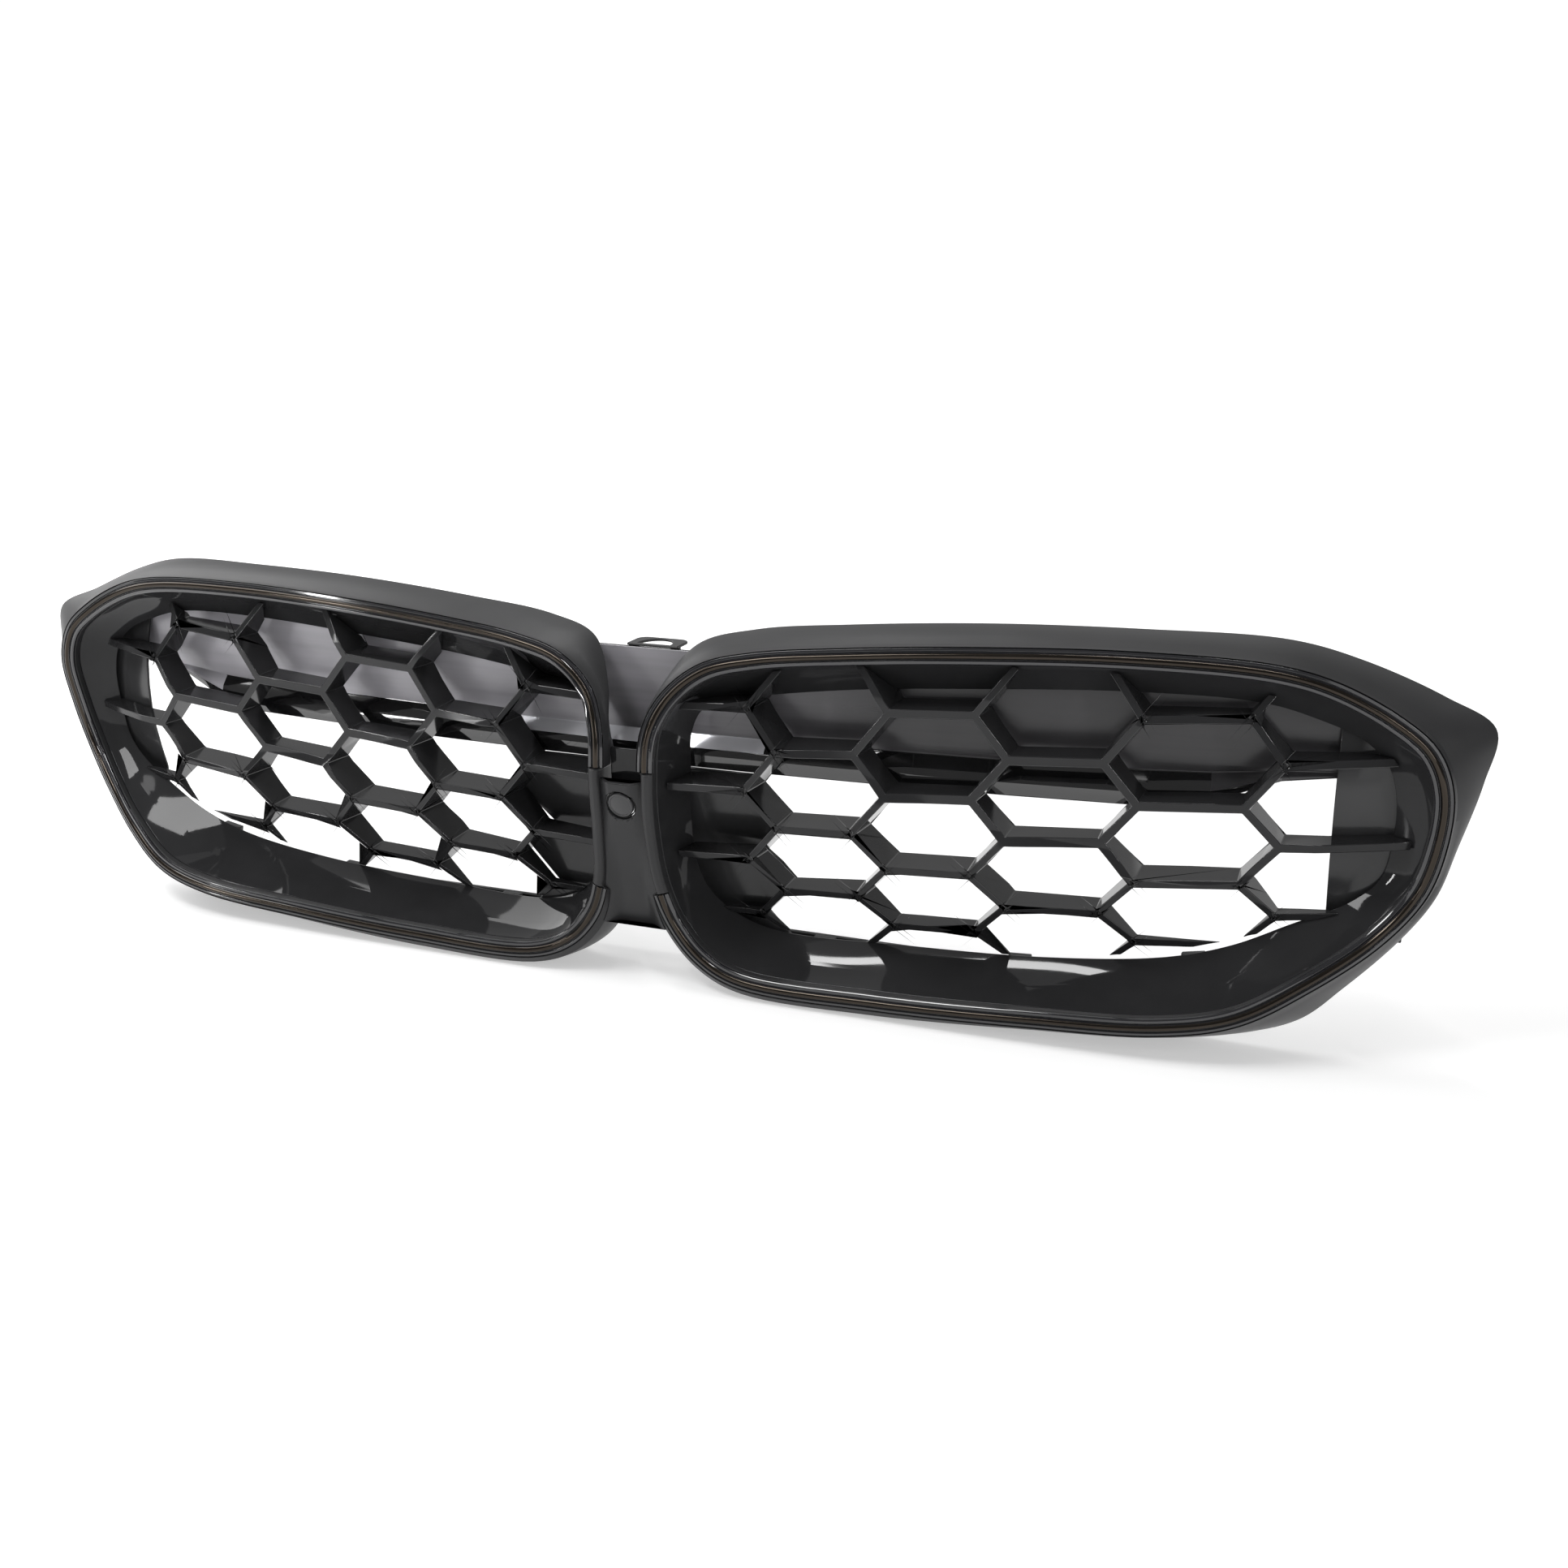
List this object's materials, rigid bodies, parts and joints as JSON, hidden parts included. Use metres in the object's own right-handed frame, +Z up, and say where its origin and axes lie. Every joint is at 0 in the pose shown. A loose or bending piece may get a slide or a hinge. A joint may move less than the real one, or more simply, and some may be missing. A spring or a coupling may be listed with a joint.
{
  "type": "front grille",
  "caption": "Car front grille: two ring-shaped surrounds joined by a narrow bridge, each with a funnel shroud and a hexagon mesh insert, on a rear crossbeam.",
  "frame": {"origin": "on the ground under the middle of the grille's box", "axes": "+X across the car to the viewer's right, +Y from the front face back to the engine, +Z up"},
  "size_m": [0.8512, 0.0854, 0.2072],
  "materials": {
    "satin_black": "satin black moulded plastic, fine grain",
    "black_chrome_trim": "polished black trim with two grooves",
    "gloss_black": "piano black",
    "mesh_black": "semi-gloss black",
    "panel_grey": "smooth dark grey",
    "plug_satin": "satin black",
    "carrier_black": "matt moulded black",
    "seal_rubber": "matt rubber",
    "screw_steel": "zinc plated"
  },
  "bodies": {
    "grille": {"surround_right": "satin_black", "surround_left": "satin_black", "trim_ring_right": "black_chrome_trim", "trim_ring_left": "black_chrome_trim", "shroud_right": "gloss_black", "shroud_left": "gloss_black", "mesh_insert_right": "mesh_black", "mesh_insert_left": "mesh_black", "inner_blanking_panel_right": "panel_grey", "inner_blanking_panel_left": "panel_grey", "outer_blanking_panel_right": "panel_grey", "outer_blanking_panel_left": "panel_grey", "inner_hanger_left": "carrier_black", "inner_hanger_left_screw": "screw_steel", "outer_hanger_left": "carrier_black", "outer_hanger_left_screw": "screw_steel", "inner_hanger_right": "carrier_black", "inner_hanger_right_screw": "screw_steel", "outer_hanger_right": "carrier_black", "outer_hanger_right_screw": "screw_steel", "rear_crossbeam": "panel_grey", "top_mount_tab": "carrier_black", "tab_screw_left": "screw_steel", "tab_screw_right": "screw_steel", "insert_clip_1_right": "carrier_black", "insert_clip_1_left": "carrier_black", "insert_clip_2_right": "carrier_black", "insert_clip_2_left": "carrier_black", "insert_clip_3_right": "carrier_black", "insert_clip_3_left": "carrier_black", "lower_rail": "carrier_black", "centre_bridge": "satin_black", "pocket_plate": "gloss_black", "plug_seal": "seal_rubber"},
    "plug": {"camera_blanking_plug": "plug_satin"}
  },
  "joints": [
    {"name": "plug_pull", "type": "slide", "parent": "grille", "child": "plug", "axis": [0, -0.9659, -0.2588], "range_m": [0, 0.02]}
  ]
}
